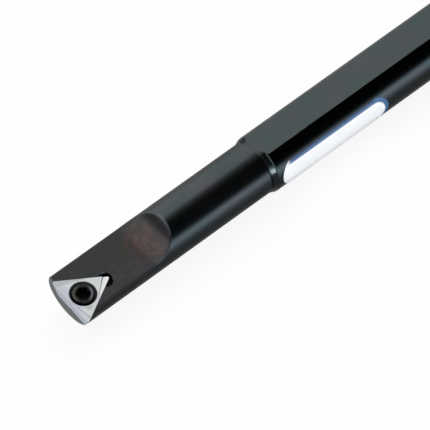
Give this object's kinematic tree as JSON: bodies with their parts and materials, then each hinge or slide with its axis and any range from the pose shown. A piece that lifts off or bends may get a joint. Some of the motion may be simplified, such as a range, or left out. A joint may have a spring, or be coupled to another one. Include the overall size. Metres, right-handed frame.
{
  "type": "boring bar",
  "caption": "Round-shank boring bar with one flat, a slimmer neck, an open chip gullet and a screwed-down triangular cutting insert.",
  "frame": {"origin": "centre of the rear end face of the shank, on the shank's axis", "axes": "+X along the bar towards the cutting end, +Z square to the shank's flat, +Y towards the cutting nose"},
  "size_m": [0.15, 0.0128, 0.0116],
  "materials": {
    "blackened_steel": "black oxide, satin",
    "ground_carbide": "ground, satin",
    "dark_screw_steel": "black oxide",
    "label_film": "gloss film, blue border"
  },
  "bodies": {
    "root": {"bar": "blackened_steel", "insert": "ground_carbide", "insert_screw": "dark_screw_steel", "label": "label_film"}
  },
  "joints": []
}
